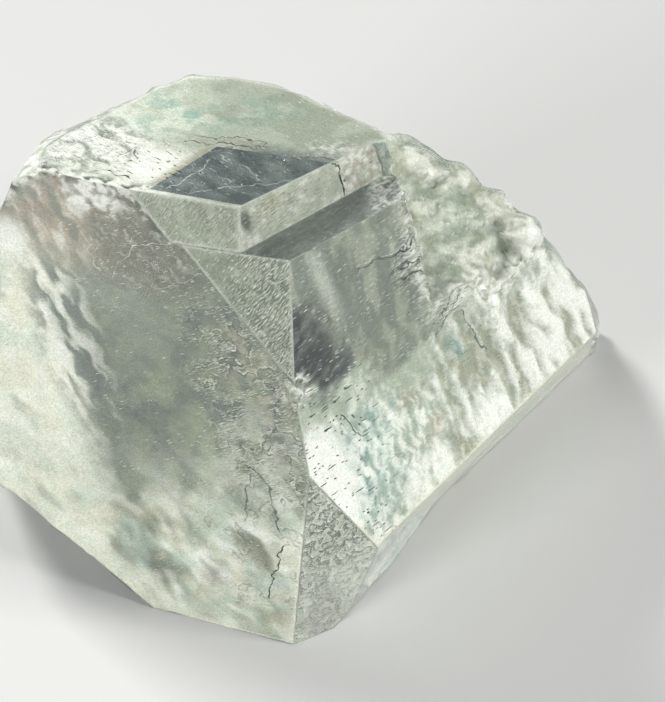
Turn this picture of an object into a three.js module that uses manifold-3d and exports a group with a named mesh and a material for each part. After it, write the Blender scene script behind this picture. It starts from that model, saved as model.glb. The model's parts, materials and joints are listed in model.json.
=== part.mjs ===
// A natural aquamarine: one broken, etched piece of a beryl crystal, grown as a single closed solid.
//
// Millimetres, +Z up. The crystal lies on a flat broken base at z = 0, with its c axis leaning back. Two low
// terraces end it at the top, each stepping down over hexagonal prism walls. The right shoulder, the back and
// the left end are broken, rough surfaces.
//
// Every surface is cut from a block of rough by a large cutting box. A surface is given by the compass bearing
// that it faces (degrees, anticlockwise from +X seen from above), by how far its normal rises above the
// horizon, and by its distance from the origin of the cutting frame.

import * as THREE from 'three';
import { mergeVertices } from 'three/addons/utils/BufferGeometryUtils.js';
import { ImprovedNoise } from 'three/addons/math/ImprovedNoise.js';
import Module from 'manifold-3d';

const wasm = await Module();
wasm.setup();

// ---------------------------------------------------------------- driving dimensions

const ROUGH_BLOCK = new THREE.Vector3(52, 36, 42);
const MIDDLE = new THREE.Vector3(-3, 9, 16);   // near the middle of the crystal, in the cutting frame
const CUTTER_SIZE = 80;                        // wider than the rough block's diagonal
const CELL = 1.35;                             // size of the little facets of a broken surface

const C_AXIS = { bearing: 94.3, rise: 75.2 };
const PRISM_BEARING = 254.8;           // bearing of the first prism wall, before it is squared to the c axis

const UPPER_TERRACE = { bearing: 86.9, rise: 73.4, distance: 32.07 };
const LOWER_TERRACE_HEIGHT = 29.36;    // measured along the c axis
const UPPER_LEFT_WALL = 5.69;
const UPPER_RIGHT_WALL = 0.19;
const LOWER_LEFT_WALL = 5.76;
const BROAD_WALL = 2.70;

// ---------------------------------------------------------------- directions and surfaces

const radians = THREE.MathUtils.degToRad;
const noise = new ImprovedNoise();

function direction(bearing, rise) {
  const horizontal = Math.cos(radians(rise));
  return new THREE.Vector3(
    horizontal * Math.cos(radians(bearing)),
    horizontal * Math.sin(radians(bearing)),
    Math.sin(radians(rise)),
  );
}

const cAxis = direction(C_AXIS.bearing, C_AXIS.rise);
const firstPrismNormal = direction(PRISM_BEARING, 0).projectOnPlane(cAxis).normalize();

// The hexagonal prism's walls stand 60 degrees apart around the c axis.
function prismNormal(wall) {
  return firstPrismNormal.clone().applyAxisAngle(cAxis, radians(60 * wall));
}

function flat(normal, distance) {
  return { normal, distance, relief: 0, grain: 1 };
}

function plane(bearing, rise, distance) {
  return flat(direction(bearing, rise), distance);
}

// A broken surface is a plane with a lumpy relief: the height of its lumps and the distance between them.
function broken(bearing, rise, distance, relief, grain) {
  return { normal: direction(bearing, rise), distance, relief, grain };
}

const surface = {
  // The crystal's own faces: two terraces across the c axis, and the prism walls below them.
  upperTerrace: plane(UPPER_TERRACE.bearing, UPPER_TERRACE.rise, UPPER_TERRACE.distance),
  lowerTerrace: flat(cAxis, LOWER_TERRACE_HEIGHT),
  upperLeftWall: flat(prismNormal(0), UPPER_LEFT_WALL),
  upperRightWall: flat(prismNormal(1), UPPER_RIGHT_WALL),
  lowerLeftWall: flat(prismNormal(0), LOWER_LEFT_WALL),
  broadWall: flat(prismNormal(1), BROAD_WALL),
  flare: plane(291, 4.3, -6.76),
  // Natural faces off the prism: the big bent left face, the narrow pitted facet and the undercuts.
  leftFaceHigh: plane(248, 8.9, 4.13),
  leftFaceLow: plane(251.8, 6.4, 3.09),
  pittedFacet: plane(297.3, 3.0, 1.14),
  leftUndercut: plane(219.5, -32.5, 6.86),
  rightUndercut: plane(319.9, -21.1, -0.48),
  footFacetRight: plane(330.2, -10.0, 1.36),
  footFacetLeft: plane(327.1, -9.7, 1.06),
  footTip: plane(324.3, -20.3, 0.75),
  base: plane(0, -90, 0),
  // The broken right shoulder: a wall and a sloping ledge, and a second notch cut into the ledge.
  shoulderWall: broken(18.2, 8.0, 10.50, 0.15, 3.2),
  shoulderLedge: broken(339.6, 69.5, 19.62, 0.25, 3.0),
  notchWall: broken(347, 21.3, 12.64, 0.2, 2.4),
  notchFloor: broken(215.6, 75.6, 13.24, 0.2, 2.6),
  // The rough right end, back and left end, and the bevelled rim of the top.
  rightEndLow: broken(350.4, -4.5, 12.75, 0.3, 3.5),
  rightEnd: broken(9.1, 13.0, 19.87, 0.3, 3.5),
  rightEndHigh: broken(34.3, 29.8, 24.57, 0.3, 3.5),
  backRight: broken(50.6, 30, 26.0, 0.45, 4),
  back: broken(93, 7, 21.4, 0.5, 5.5),
  backLeft: broken(122, 15, 26.1, 0.4, 5),
  leftShoulder: broken(155, 15, 26.8, 0.4, 4),
  leftEnd: broken(184, 3, 21.3, 0.5, 5),
  upperBack: broken(70, 20, 23.35, 0.3, 4.5),
  upperBackRight: broken(55, 22, 22.1, 0.25, 4),
  rimRight: broken(63, 50, 30.6, 0.12, 2.5),
  rimLeft: broken(122, 50, 34.5, 0.12, 2.5),
  rimShoulder: broken(157, 50, 35.7, 0.15, 2.5),
};

// Rounded lumps left standing along the broken right shoulder: centres and radii.
const shoulderLumps = [
  { centre: [4.6, 17.0, 20.9], radii: [2.2, 1.5, 1.3] },
  { centre: [7.0, 16.9, 19.9], radii: [1.8, 1.3, 1.1] },
  { centre: [9.2, 15.5, 19.0], radii: [1.7, 1.4, 1.15] },
  { centre: [11.0, 14.5, 18.3], radii: [1.7, 1.5, 1.5] },
];
const LUMP_RELIEF = { relief: 0.15, grain: 1.1 };

// A small shell-shaped chip at the foot of the edge between the lower step wall and the broad wall.
const EDGE_CHIP = { centre: [-2.2, -0.6, 21.0], radii: [0.7, 0.75, 1.0] };

// ---------------------------------------------------------------- solids

function toSolid(geometry) {
  const bare = geometry.clone();
  bare.deleteAttribute('normal');
  bare.deleteAttribute('uv');
  const merged = mergeVertices(bare, 1e-4);
  const mesh = new wasm.Mesh({
    numProp: 3,
    vertProperties: new Float32Array(merged.attributes.position.array),
    triVerts: new Uint32Array(merged.index.array),
  });
  return new wasm.Manifold(mesh);
}

function reliefAt(point, { relief, grain }) {
  const coarse = noise.noise(point.x / grain, point.y / grain, point.z / grain);
  const fine = noise.noise(2.3 * point.x / grain, 2.3 * point.y / grain, 2.3 * point.z / grain);
  return relief * (coarse + 0.4 * fine);
}

// Everything outside a surface, as a big box whose inner face lies on it.
function outside(face) {
  const isBroken = face.relief > 0;
  const cells = isBroken ? Math.round(CUTTER_SIZE / CELL) : 1;
  const box = new THREE.BoxGeometry(CUTTER_SIZE, CUTTER_SIZE, CUTTER_SIZE, cells, cells, 1);
  box.translate(0, 0, CUTTER_SIZE / 2);
  const turn = new THREE.Quaternion().setFromUnitVectors(new THREE.Vector3(0, 0, 1), face.normal);
  const foot = MIDDLE.clone().projectOnPlane(face.normal).addScaledVector(face.normal, face.distance);
  const position = box.attributes.position;
  const point = new THREE.Vector3();
  for (let i = 0; i < position.count; i++) {
    point.fromBufferAttribute(position, i);
    const onInnerFace = isBroken && point.z < 1e-6;
    point.applyQuaternion(turn).add(foot);
    if (onInnerFace) {
      point.addScaledVector(face.normal, reliefAt(point, face));
    }
    position.setXYZ(i, point.x, point.y, point.z);
  }
  return toSolid(box);
}

// What lies outside all of several surfaces: a step or a notch between them.
function outsideAll(...faces) {
  return faces.map(outside).reduce((left, right) => left.intersect(right));
}

function lump({ centre, radii }) {
  const ball = new THREE.SphereGeometry(1, 14, 9);
  const position = ball.attributes.position;
  const point = new THREE.Vector3();
  const place = new THREE.Vector3();
  for (let i = 0; i < position.count; i++) {
    point.fromBufferAttribute(position, i);
    place.copy(point).add(new THREE.Vector3(...centre));
    point.multiplyScalar(1 + reliefAt(place, LUMP_RELIEF));
    position.setXYZ(i, point.x, point.y, point.z);
  }
  ball.scale(...radii);
  ball.translate(...centre);
  return toSolid(ball);
}

function roughBlock() {
  const block = new THREE.BoxGeometry(ROUGH_BLOCK.x, ROUGH_BLOCK.y, ROUGH_BLOCK.z);
  block.translate(MIDDLE.x, MIDDLE.y, MIDDLE.z);
  return toSolid(block);
}

// ---------------------------------------------------------------- the crystal

function crystalSolid() {
  const wholeFaces = [
    surface.upperTerrace,
    surface.lowerLeftWall,
    surface.broadWall,
    surface.leftFaceHigh,
    surface.leftFaceLow,
    surface.pittedFacet,
    surface.leftUndercut,
    surface.rightEndLow,
    surface.rightEnd,
    surface.rightEndHigh,
    surface.backRight,
    surface.back,
    surface.backLeft,
    surface.leftShoulder,
    surface.leftEnd,
    surface.rimLeft,
    surface.rimShoulder,
    surface.base,
  ];
  let solid = roughBlock();
  for (const face of wholeFaces) {
    solid = solid.subtract(outside(face));
  }
  // The two terraces: each step is what lies above the lower terrace and outside an upper wall.
  solid = solid.subtract(outsideAll(surface.lowerTerrace, surface.upperLeftWall));
  solid = solid.subtract(outsideAll(surface.lowerTerrace, surface.upperRightWall, surface.flare));
  // The broken right shoulder, with a second, lower ledge cut into it.
  solid = solid.subtract(outsideAll(surface.shoulderLedge, surface.shoulderWall));
  solid = solid.subtract(outsideAll(surface.notchFloor, surface.notchWall));
  // The upper block is set back from the broad lower one.
  solid = solid.subtract(outsideAll(surface.shoulderLedge, surface.upperBack));
  solid = solid.subtract(outsideAll(surface.shoulderLedge, surface.upperBackRight));
  solid = solid.subtract(outsideAll(surface.shoulderLedge, surface.rimRight));
  // The undercut right side, with three small facets left standing at its foot.
  const footFacets = outside(surface.footFacetLeft)
    .add(outside(surface.footFacetRight))
    .add(outside(surface.footTip));
  solid = solid.subtract(outside(surface.rightUndercut).intersect(footFacets));
  for (const place of shoulderLumps) {
    solid = solid.add(lump(place));
  }
  return solid.subtract(lump(EDGE_CHIP));
}

function toGeometry(solid) {
  const { vertProperties, triVerts } = solid.getMesh();
  const geometry = new THREE.BufferGeometry();
  geometry.setAttribute('position', new THREE.BufferAttribute(new Float32Array(vertProperties), 3));
  geometry.setIndex(new THREE.BufferAttribute(new Uint32Array(triVerts), 1));
  geometry.computeVertexNormals();
  geometry.computeBoundingBox();
  return geometry;
}

const crystalMaterial = new THREE.MeshStandardMaterial({
  name: 'aquamarine',
  color: 0xc8d8ce,
  roughness: 0.3,
  metalness: 0,
  flatShading: true,
});

const geometry = toGeometry(crystalSolid());
const crystal = new THREE.Mesh(geometry, crystalMaterial);
crystal.name = 'aquamarine_crystal';
const middle = geometry.boundingBox.getCenter(new THREE.Vector3());
crystal.position.set(-middle.x, -middle.y, -geometry.boundingBox.min.z);

const aquamarine = new THREE.Group();
aquamarine.add(crystal);

export default aquamarine;
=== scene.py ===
import json
import math

import bmesh
import bpy
import numpy as np
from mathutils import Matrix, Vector, noise
from mathutils.geometry import delaunay_2d_cdt
from mathutils.kdtree import KDTree

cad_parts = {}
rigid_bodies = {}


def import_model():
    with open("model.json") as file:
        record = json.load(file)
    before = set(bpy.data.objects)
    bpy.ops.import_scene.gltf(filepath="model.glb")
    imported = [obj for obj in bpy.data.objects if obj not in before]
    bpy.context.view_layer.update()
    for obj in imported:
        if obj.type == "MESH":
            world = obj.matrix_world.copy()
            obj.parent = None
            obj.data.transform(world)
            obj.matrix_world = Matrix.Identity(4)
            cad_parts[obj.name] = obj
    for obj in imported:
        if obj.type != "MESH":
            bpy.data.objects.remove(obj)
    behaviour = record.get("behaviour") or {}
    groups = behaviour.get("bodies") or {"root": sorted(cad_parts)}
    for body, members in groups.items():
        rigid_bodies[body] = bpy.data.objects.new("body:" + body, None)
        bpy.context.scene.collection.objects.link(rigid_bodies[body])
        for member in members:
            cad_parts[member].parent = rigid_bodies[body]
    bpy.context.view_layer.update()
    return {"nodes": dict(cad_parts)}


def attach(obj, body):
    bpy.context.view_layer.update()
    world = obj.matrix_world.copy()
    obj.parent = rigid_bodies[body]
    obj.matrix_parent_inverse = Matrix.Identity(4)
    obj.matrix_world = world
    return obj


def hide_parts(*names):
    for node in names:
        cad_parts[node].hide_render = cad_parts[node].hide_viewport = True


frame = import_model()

MM = 0.001

# -------- the crystal's faces
# The planes that cut the crystal: where each faces, and its distance in millimetres, as in the part's
# source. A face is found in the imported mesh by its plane, and gets its own mesh, relief, tone and polish.

PRISM_BEARING = 254.8


def direction(bearing, rise):
    """The direction at a compass bearing and a rise above the level, in degrees."""
    b, r = math.radians(bearing), math.radians(rise)
    return np.array([math.cos(r) * math.cos(b), math.cos(r) * math.sin(b), math.sin(r)])


C_AXIS = direction(94.3, 75.2)


def plane(bearing, rise, distance):
    return direction(bearing, rise), distance


def prism(wall):
    """The normal of one of the six prism walls, 60 degrees apart around the c axis."""
    flat = direction(PRISM_BEARING, 0)
    flat -= C_AXIS * (flat @ C_AXIS)
    flat /= np.linalg.norm(flat)
    turn = math.radians(60 * wall)
    return flat * math.cos(turn) + np.cross(C_AXIS, flat) * math.sin(turn)


FLAT = {
    "upper_terrace": plane(86.9, 73.4, 32.07),
    "lower_terrace": (C_AXIS, 29.36),
    "upper_left_wall": (prism(0), 5.69),
    "upper_right_wall": (prism(1), 0.19),
    "lower_left_wall": (prism(0), 5.76),
    "broad_wall": (prism(1), 2.7),
    "flare": plane(291, 4.3, -6.76),
    "left_face_high": plane(248, 8.9, 4.13),
    "left_face_low": plane(251.8, 6.4, 3.09),
    "pitted_facet": plane(297.3, 3.0, 1.14),
    "left_undercut": plane(219.5, -32.5, 6.86),
    "right_undercut": plane(319.9, -21.1, -0.48),
    "foot_facet_right": plane(330.2, -10.0, 1.36),
    "foot_facet_left": plane(327.1, -9.7, 1.06),
    "foot_tip": plane(324.3, -20.3, 0.75),
    "base": plane(0, -90, 0.0),
}
BROKEN = {
    "shoulder_wall": plane(18.2, 8.0, 10.5),
    "shoulder_ledge": plane(339.6, 69.5, 19.62),
    "notch_wall": plane(347, 21.3, 12.64),
    "notch_floor": plane(215.6, 75.6, 13.24),
    "right_end_low": plane(350.4, -4.5, 12.75),
    "right_end": plane(9.1, 13.0, 19.87),
    "right_end_high": plane(34.3, 29.8, 24.57),
    "back_right": plane(50.6, 30, 26.0),
    "back": plane(93, 7, 21.4),
    "back_left": plane(122, 15, 26.1),
    "left_shoulder": plane(155, 15, 26.8),
    "left_end": plane(184, 3, 21.3),
    "upper_back": plane(70, 20, 23.35),
    "upper_back_right": plane(55, 22, 22.1),
    "rim_right": plane(63, 50, 30.6),
    "rim_left": plane(122, 50, 34.5),
    "rim_shoulder": plane(157, 50, 35.7),
}
PLANES = {**FLAT, **BROKEN}
NAMES = list(PLANES)
BACK = ("back", "back_left", "left_shoulder", "left_end", "upper_back")
SPACING = dict.fromkeys(FLAT, 0.165) | dict.fromkeys(BROKEN, 0.27) | dict.fromkeys(BACK, 0.42)
SPACING |= {"base": 0.9, "left_undercut": 0.26, "right_undercut": 0.2}
BENT_FACE = {"left_face_high", "left_face_low"}      # one natural face, gently bent along its middle
HELD_BY = {"left_face_low": "left_face_high"}        # whose places and grain a face shares
RAGGED = ("shoulder_wall", "shoulder_ledge", "notch_wall", "notch_floor", "upper_back_right")
RAGGED_DEPTH = 0.5        # how far the ragged border wanders
EDGE_ROW = 0.055          # how far a face's first row of points lies from its edge
EDGE_WEAR = 0.02          # how deep the edges are worn
ON_PLANE = 0.004          # how closely a corner of a flat face keeps to its plane
SAME_WAY = 3              # how many degrees a triangle of a flat face may turn from it
SLIVER = 0.002            # the area in mm2 under which a triangle's own direction isn't trusted
DEGREES_PER_MM = 12       # how a broken triangle's turn counts against its distance from a plane


def read_cad(name):
    mesh = bmesh.new()
    mesh.from_mesh(frame["nodes"][name].data)
    bmesh.ops.remove_doubles(mesh, verts=mesh.verts, dist=1e-7)
    mesh.verts.index_update()
    points = np.array([v.co for v in mesh.verts]) / MM
    triangles = np.array([[v.index for v in f.verts] for f in mesh.faces])
    mesh.free()
    return points, triangles


def unit(vectors):
    return vectors / np.maximum(np.linalg.norm(vectors, axis=1), 1e-12)[:, None]


def normals_of(points, triangles):
    """The normal and the area of each triangle."""
    a, b, c = (points[triangles[:, k]] for k in range(3))
    cross = np.cross(b - a, c - a)
    return unit(cross), np.linalg.norm(cross, axis=1) / 2


def weighted_median(values, weights):
    order = np.argsort(values)
    total = np.cumsum(weights[order])
    return values[order][np.searchsorted(total, total[-1] / 2)]


def cutting_frame_shift(points, triangles):
    """Where the origin of the part's cutting frame lies in the row frame, from two of its faces."""
    normals, areas = normals_of(points, triangles)
    middles = points[triangles].mean(1)
    rows, gaps = [], []
    for name in ("left_face_high", "broad_wall"):
        normal, distance = FLAT[name]
        match = normals @ normal > 0.99999
        measured = weighted_median(middles[match] @ normal, areas[match])
        rows.append(normal[:2])
        gaps.append(measured - distance)
    return np.array([*np.linalg.solve(np.array(rows), np.array(gaps)), 0.0])


def zones_of(points, triangles):
    """The index in NAMES of each triangle's face."""
    normals, areas = normals_of(points, triangles)
    score = np.full((len(triangles), len(NAMES)), 1e9)
    for k, name in enumerate(NAMES):
        normal, distance = PLANES[name]
        gap = np.abs(points @ normal - distance)[triangles].max(1)
        turn = np.degrees(np.arccos(np.clip(normals @ normal, -1, 1)))
        if name in FLAT:
            good = (gap < ON_PLANE) & ((turn < SAME_WAY) | (areas < SLIVER))
            score[good, k] = turn[good] * 1e-3 - 1
        else:
            score[:, k] = gap + turn / DEGREES_PER_MM
    return score.argmin(1)


def patches_of(triangles, zones):
    """The patch of each triangle, and the triangles on each edge. A patch is a connected piece of a
    flat face, or one triangle of a broken surface."""
    edges = {}
    for t, tri in enumerate(triangles):
        for k in range(3):
            edges.setdefault(frozenset((tri[k], tri[(k + 1) % 3])), []).append(t)
    flat = np.array([NAMES[z] in FLAT for z in zones])
    patch = np.full(len(triangles), -1)
    neighbours = [[] for _ in triangles]
    for pair in edges.values():
        if len(pair) == 2 and flat[pair[0]] and zones[pair[0]] == zones[pair[1]]:
            neighbours[pair[0]].append(pair[1])
            neighbours[pair[1]].append(pair[0])
    count = 0
    for t in range(len(triangles)):
        if patch[t] >= 0:
            continue
        patch[t] = count
        todo = [t]
        while todo:
            for other in neighbours[todo.pop()]:
                if patch[other] < 0:
                    patch[other] = count
                    todo.append(other)
        count += 1
    return patch, edges


def plane_axes(normal):
    """Two directions in a plane: level, and up the slope."""
    level = np.cross([0, 0, 1], normal)
    if np.linalg.norm(level) < 0.05:
        level = np.array([1.0, 0, 0])
    level /= np.linalg.norm(level)
    if normal[2] > 0.95 and level[0] < 0:
        level = -level
    return level, np.cross(normal, level)


def distance_to_segments(spots, starts, ends):
    best = np.empty(len(spots))
    along = ends - starts
    length = np.maximum((along ** 2).sum(1), 1e-12)
    batch = 1500
    for first in range(0, len(spots), batch):
        part = spots[first:first + batch]
        gap = part[:, None] - starts[None]
        t = np.clip((gap * along).sum(2) / length, 0, 1)
        away = gap - t[..., None] * along
        best[first:first + batch] = np.sqrt((away ** 2).sum(2)).min(1)
    return best


def inside(spots, starts, ends):
    """Whether each spot lies inside the outline that the segments make."""
    odd = np.zeros(len(spots), bool)
    for (x0, y0), (x1, y1) in zip(starts, ends):
        if y0 == y1:
            continue
        crosses = (y0 > spots[:, 1]) != (y1 > spots[:, 1])
        odd ^= crosses & (spots[:, 0] < x0 + (spots[:, 1] - y0) * (x1 - x0) / (y1 - y0))
    return odd


def filled_part(faces, segments):
    """The triangles of a filling that lie inside its directed boundary."""
    beside = {}
    for t, (a, b, c) in enumerate(faces):
        beside[a, b] = beside[b, c] = beside[c, a] = t
    walls = {frozenset(segment) for segment in segments}
    taken = set()
    todo = [beside[segment] for segment in segments if segment in beside]
    while todo:
        t = todo.pop()
        if t in taken:
            continue
        taken.add(t)
        a, b, c = faces[t]
        for i, j in ((a, b), (b, c), (c, a)):
            if frozenset((i, j)) not in walls and (j, i) in beside:
                todo.append(beside[j, i])
    return [faces[t] for t in sorted(taken)]


def hexagonal_grid(low, high, gap):
    rows = np.arange(low[1], high[1], gap * math.sqrt(0.75))
    columns = np.arange(low[0], high[0], gap)
    x, y = np.meshgrid(columns, rows)
    x[1::2] += gap / 2
    return np.stack([x.ravel(), y.ravel()], 1)


def split_edges(points, zones, patch, edges):
    """Splits each edge between two patches at the finer of their spacings. Gives the points with the
    new ones after them, and the row of point numbers along each edge."""
    spots = [tuple(p) for p in points]
    chains = {}
    for edge, pair in edges.items():
        if patch[pair[0]] == patch[pair[-1]]:
            continue
        i, j = sorted(edge)
        gap = min(SPACING[NAMES[zones[t]]] for t in pair)
        count = max(1, round(np.linalg.norm(points[j] - points[i]) / gap))
        first = len(spots)
        spots += [tuple(points[i] + (points[j] - points[i]) * k / count) for k in range(1, count)]
        chains[edge] = [i, *range(first, len(spots)), j]
    return spots, chains


def boundary_of(group, triangles, chains, soft):
    """The directed segments round a patch, and for each whether it is a true edge of the crystal."""
    segments, hard = [], []
    for a, b, c in triangles[group]:
        for i, j in ((a, b), (b, c), (c, a)):
            chain = chains.get(frozenset((i, j)))
            if chain is None:
                continue
            if chain[0] != i:
                chain = chain[::-1]
            steps = list(zip(chain[:-1], chain[1:]))
            segments += steps
            hard += [frozenset((i, j)) not in soft] * len(steps)
    return segments, hard


def first_row(rim, ends, hard):
    """A row of points just inside the true edges of a flat face."""
    starts, stops = rim[ends[:, 0]], rim[ends[:, 1]]
    turn = unit(np.stack([starts[:, 1] - stops[:, 1], stops[:, 0] - starts[:, 0]], 1))
    turn[~np.array(hard)] = 0
    inward = np.zeros_like(rim)
    np.add.at(inward, ends[:, 0], turn)
    np.add.at(inward, ends[:, 1], turn)
    row = rim + unit(inward) * EDGE_ROW
    row = row[inside(row, starts, stops)]
    return row[distance_to_segments(row, starts, stops) > 0.8 * EDGE_ROW]


def filling(rim, extra, ends):
    """The triangles between a patch's rim and the extra points inside it."""
    every = [Vector(p) for p in np.concatenate([rim, extra])]
    filled = delaunay_2d_cdt(every, ends.tolist(), [], 0, 1e-9)
    number = [origins[0] for origins in filled[3]]
    faces = [tuple(number[k] for k in face) for face in filled[2]]
    return np.array(filled_part(faces, [tuple(e) for e in ends.tolist()]))


def fine_mesh(points, triangles, zones):
    """Fills every face anew with a fine even mesh that keeps its true edges. Gives the points, the
    triangles with their zones, and the edge segments of each flat face."""
    patch, edges = patches_of(triangles, zones)
    spots, chains = split_edges(points, zones, patch, edges)
    soft = {edge for edge in chains if {NAMES[zones[t]] for t in edges[edge]} == BENT_FACE}
    members = {}
    for t, p in enumerate(patch):
        members.setdefault(p, []).append(t)
    new_faces, new_zones, hard_segments = [], [], {}
    for group in members.values():
        zone = zones[group[0]]
        name = NAMES[zone]
        flat = name in FLAT
        segments, hard = boundary_of(group, triangles, chains, soft)
        if flat:
            kept = [segment for segment, is_hard in zip(segments, hard) if is_hard]
            hard_segments.setdefault(name, []).extend(kept)
        ids = sorted({i for segment in segments for i in segment})
        if not flat and len(ids) == 3:
            new_faces.append(triangles[group[0]].tolist())
            new_zones.append(zone)
            continue
        normal = FLAT[name][0] if flat else normals_of(points, triangles[group])[0][0]
        level, up = plane_axes(normal)
        corner = points[triangles[group[0]][0]]
        local = {i: k for k, i in enumerate(ids)}
        ends = np.array([[local[i], local[j]] for i, j in segments])
        solid = np.array([spots[i] for i in ids]) - corner
        rim = np.stack([solid @ level, solid @ up], 1)
        starts, stops = rim[ends[:, 0]], rim[ends[:, 1]]
        extra = hexagonal_grid(rim.min(0), rim.max(0), SPACING[name])
        extra = extra[inside(extra, starts, stops)]
        clearance = (0.62 if flat else 0.45) * SPACING[name]
        extra = extra[distance_to_segments(extra, starts, stops) > clearance]
        if flat and name != "base":
            extra = np.concatenate([extra, first_row(rim, ends, hard)])
        faces = filling(rim, extra, ends)
        numbers = np.array(ids + list(range(len(spots), len(spots) + len(extra))))
        spots += [tuple(corner + level * x + up * y) for x, y in extra]
        new_faces += numbers[faces].tolist()
        new_zones += [zone] * len(faces)
    return np.array(spots), np.array(new_faces), np.array(new_zones), hard_segments


cad_points, cad_triangles = read_cad("aquamarine_crystal")
shift = cutting_frame_shift(cad_points, cad_triangles)
cad_points = cad_points - shift
cad_zones = zones_of(cad_points, cad_triangles)
points, faces, zones, hard_segments = fine_mesh(cad_points, cad_triangles, cad_zones)
used = np.zeros(len(points), bool)
used[faces.ravel()] = True
renumbered = np.cumsum(used) - 1
points, faces = points[used], renumbered[faces]


def points_of(*names):
    """The numbers of the points on the faces of these names."""
    wanted = np.isin(zones, [NAMES.index(name) for name in names])
    return np.unique(faces[wanted].ravel())


# How far each point lies from the nearest edge of its flat face; broken surfaces get theirs further on.
away = np.zeros(len(points))
for names in [BENT_FACE] + [{name} for name in FLAT if name not in BENT_FACE]:
    ends = renumbered[np.array([e for name in names for e in hard_segments.get(name, [])])]
    members = points_of(*names)
    members = members[~np.isin(members, ends)]
    away[members] = distance_to_segments(points[members], points[ends[:, 0]], points[ends[:, 1]])


def distance_from(members):
    """The distance of every point from the nearest of the members."""
    nearest = KDTree(len(members))
    for k, spot in enumerate(points[members]):
        nearest.insert(spot, k)
    nearest.balance()
    return np.array([nearest.find(spot)[2] for spot in points])


# How far each point lies from where flat faces meet broken surfaces, and from the ragged part of that.
flat_zone = np.array([NAMES[z] in FLAT for z in zones])
border = np.intersect1d(faces[flat_zone].ravel(), faces[~flat_zone].ravel())
from_border = distance_from(border)
from_ragged = distance_from(np.intersect1d(border, points_of(*RAGGED)))
broken_only = np.setdiff1d(faces[~flat_zone].ravel(), faces[flat_zone].ravel())
away[broken_only] = from_border[broken_only]


# -------- fields

FAR = 9.0                 # a distance in millimetres past which a drawn line plays no part


def clouds(place, size, seed, octaves=3):
    """Soft noise from about 0 to 1. size is one length in millimetres, or one for each direction."""
    scaled = place / np.asarray(size, float) + 31.7 * seed
    return np.array([0.5 + 0.55 * noise.fractal(Vector(p), 0.9, 2.0, octaves) for p in scaled])


def ramp(value, start, end):
    """0 at start, 1 at end, smooth between them."""
    t = np.clip((value - start) / (end - start), 0, 1)
    return t * t * (3 - 2 * t)


def line_gap(u, v, corners):
    """Signed distance on a face from a line through the corners, and the plain distance."""
    spots = np.stack([u, v], 1)
    line = np.array(corners, float)
    signed, far = np.full((2, len(spots)), FAR)
    for start, end in zip(line[:-1], line[1:]):
        gap = distance_to_segments(spots, start[None], end[None])
        along = (end - start) / np.linalg.norm(end - start)
        side = (spots - start) @ np.array([-along[1], along[0]])
        nearer = gap < far
        signed[nearer], far[nearer] = side[nearer], gap[nearer]
    return signed, far


def polygon_gap(u, v, corners):
    """Signed distance on a face from a polygon's outline: negative inside."""
    ring = np.array(list(corners) + [corners[0]], float)
    spots = np.stack([u, v], 1)
    gap = distance_to_segments(spots, ring[:-1], ring[1:])
    return np.where(inside(spots, ring[:-1], ring[1:]), -gap, gap)


# -------- smoothing and wear

SMOOTHING = 9             # passes over the broken surfaces
ROUNDING = 24             # passes over the worn brim
BEND = 0.08               # how softly the two halves of the left face meet


def edge_pairs(faces):
    """Every edge of the mesh once, as a pair of point numbers."""
    sides = np.sort(np.concatenate([faces[:, [0, 1]], faces[:, [1, 2]], faces[:, [2, 0]]]), axis=1)
    return np.unique(sides, axis=0)


def neighbour_mean(values, pairs):
    total = np.zeros_like(values)
    np.add.at(total, pairs[:, 0], values[pairs[:, 1]])
    np.add.at(total, pairs[:, 1], values[pairs[:, 0]])
    count = np.bincount(pairs.ravel(), minlength=len(values))
    return total / count[:, None]


def point_normals(points, faces):
    normals, areas = normals_of(points, faces)
    total = np.zeros_like(points)
    for k in range(3):
        np.add.at(total, faces[:, k], normals * areas[:, None])
    return unit(total)


on_flat = np.zeros(len(points), bool)
on_flat[faces[flat_zone].ravel()] = True
pairs = edge_pairs(faces)

# Broken surfaces lose the part's little facets: only points that touch no flat face move.
for _ in range(SMOOTHING):
    mean = neighbour_mean(points, pairs)
    points = np.where(on_flat[:, None], points, 0.5 * points + 0.5 * mean)

# The worn brim rounds the upper terrace's edge.
brim_line = np.intersect1d(points_of("upper_terrace"), points_of("rim_right", "rim_left", "rim_shoulder"))
from_brim = distance_from(brim_line)
rounding = 0.5 * ramp(from_brim, 0.9, 0.2)[:, None]
for _ in range(ROUNDING):
    points = points + rounding * (neighbour_mean(points, pairs) - points)

# The left face bends gently: its two halves are blended where they meet.
high, low = (PLANES[name] for name in ("left_face_high", "left_face_low"))
bent = points_of(*BENT_FACE)
other_gap = np.maximum(high[1] - points[bent] @ high[0], low[1] - points[bent] @ low[0])
points[bent] -= (BEND * np.log1p(np.exp(-other_gap / BEND)))[:, None] * high[0]

# -------- tones and relief of each face
# Tones are plain linear colours. Clear is how much light passes through, rough the lack of polish, and
# height the relief in millimetres. Etch is the share of fine dashes and hairs, nick that of dark nicks and
# outline that of thin wandering lines, which fine makes wider. The distance from the dark window's outline
# on the upper terrace places a painted reflection of dark surroundings there. The grain turns the dashes,
# hairs and outlines on a face.

WHITE = (0.98, 0.99, 0.94)
MILK = (0.82, 0.86, 0.77)
MINT = (0.6, 0.7, 0.61)
SAGE = (0.46, 0.5, 0.42)
DUSK = (0.27, 0.31, 0.28)
PALE_SLATE = (0.3, 0.335, 0.325)
CHARCOAL = (0.055, 0.062, 0.06)
TEAL = (0.33, 0.47, 0.44)
OLIVE = (0.44, 0.43, 0.31)
BROWN = (0.46, 0.39, 0.33)
BEIGE = (0.74, 0.69, 0.6)
CREAM = (0.86, 0.84, 0.7)


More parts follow.
